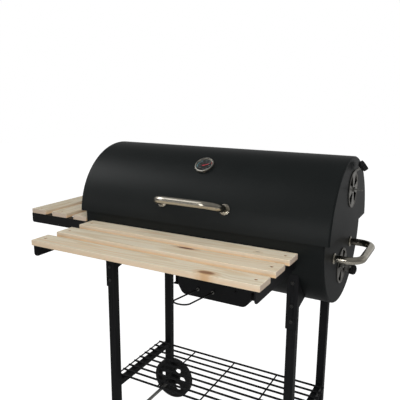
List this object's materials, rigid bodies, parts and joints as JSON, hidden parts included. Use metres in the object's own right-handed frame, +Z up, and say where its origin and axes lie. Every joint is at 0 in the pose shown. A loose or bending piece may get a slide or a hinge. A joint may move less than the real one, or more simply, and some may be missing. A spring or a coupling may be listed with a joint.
{
  "type": "barrel charcoal smoker",
  "caption": "Horizontal steel barrel charcoal smoker and grill on a wheeled stand, with a hinged half-round lid, pine front and side shelves, end draught vents and an ash pan.",
  "frame": {"origin": "on the floor below the middle of the whole outline", "axes": "+X along the barrel towards the end with the vents and the end handle, +Y from the front table to the hinges, +Z up"},
  "size_m": [1.068, 0.6726, 1.048],
  "materials": {
    "barrel_paint": "satin heat-resistant charcoal-black paint",
    "stand_paint": "satin black powder coat",
    "stainless": "brushed stainless tube",
    "zinc": "zinc plate",
    "vent_steel": "plain dull steel sheet",
    "wire": "black painted wire",
    "grate_steel": "plated wire",
    "pine": "bare planed pine",
    "black_plastic": "moulded black plastic",
    "bezel": "dull pressed steel",
    "dial_face": "matt black print ground",
    "needle_red": "red paint",
    "clear_glass": "flat clear glass"
  },
  "bodies": {
    "stand": {"body_shell": "barrel_paint", "body_end_left": "barrel_paint", "body_end_right": "barrel_paint", "hinge_body_leaves": "stand_paint", "table_bracket_left": "stand_paint", "table_bracket_right": "stand_paint", "side_bracket_front": "stand_paint", "side_bracket_rear": "stand_paint", "leg_front_left": "stand_paint", "leg_front_right": "stand_paint", "leg_rear_left": "stand_paint", "leg_rear_right": "stand_paint", "leg_brackets": "stand_paint", "leg_bolts": "stand_paint", "cross_rails": "stand_paint", "lower_rack": "stand_paint", "ash_rails": "stand_paint", "grate_ledges": "stand_paint", "end_handle": "stainless", "end_handle_flanges": "stainless", "end_handle_bolts": "zinc", "lower_vent_bolt": "zinc", "shelf_screws": "zinc", "bracket_bolts": "zinc", "hinge_pins": "zinc", "axle": "zinc", "cooking_grate_left": "grate_steel", "cooking_grate_right": "grate_steel", "charcoal_grate": "grate_steel", "table_slat_front": "pine", "table_slat_middle": "pine", "table_slat_rear": "pine", "side_slat_inner": "pine", "side_slat_middle": "pine", "side_slat_outer": "pine", "foot_caps": "black_plastic", "axle_caps": "black_plastic"},
    "lid": {"lid_shell": "barrel_paint", "lid_end_left": "barrel_paint", "lid_end_right": "barrel_paint", "hinge_lid_leaves": "stand_paint", "lid_handle": "stainless", "lid_handle_flanges": "stainless", "lid_handle_bolts": "zinc", "thermometer_case": "bezel", "thermometer_dial": "dial_face", "thermometer_glass": "clear_glass", "thermometer_nut": "zinc", "upper_vent_bolt": "zinc"},
    "needle": {"thermometer_needle": "needle_red"},
    "upper_vent": {"upper_vent_disc": "vent_steel", "upper_vent_knob": "black_plastic"},
    "lower_vent": {"lower_vent_disc": "vent_steel", "lower_vent_knob": "black_plastic"},
    "ash_drawer": {"ash_pan": "stand_paint", "ash_pull": "wire", "ash_pull_nuts": "zinc"},
    "front_wheel": {"wheel_front": "black_plastic"},
    "rear_wheel": {"wheel_rear": "black_plastic"}
  },
  "joints": [
    {"name": "lid_hinge", "type": "hinge", "parent": "stand", "child": "lid", "pos_m": [0.0795, 0.3243, 0.842], "axis": [-1, 0, 0], "range_deg": [0, 95]},
    {"name": "needle_turn", "type": "hinge", "parent": "lid", "child": "needle", "pos_m": [0.0825, -0.00992, 1.01097], "axis": [0, -0.5892, 0.808], "range_deg": [-70, 200]},
    {"name": "upper_vent_turn", "type": "hinge", "parent": "lid", "child": "upper_vent", "pos_m": [0.4705, 0.12075, 0.9582], "axis": [1, 0, 0], "range_deg": [0, 45]},
    {"name": "lower_vent_turn", "type": "hinge", "parent": "stand", "child": "lower_vent", "pos_m": [0.4565, 0.10935, 0.742], "axis": [1, 0, 0], "range_deg": [-45, 0]},
    {"name": "ash_pan_slide", "type": "slide", "parent": "stand", "child": "ash_drawer", "axis": [0, -1, 0], "range_m": [0, 0.11]},
    {"name": "front_wheel_spin", "type": "hinge", "parent": "stand", "child": "front_wheel", "pos_m": [-0.2246, -0.08275, 0.08], "axis": [0, 1, 0], "continuous": true},
    {"name": "rear_wheel_spin", "type": "hinge", "parent": "stand", "child": "rear_wheel", "pos_m": [-0.2246, 0.31225, 0.08], "axis": [0, 1, 0], "continuous": true}
  ]
}
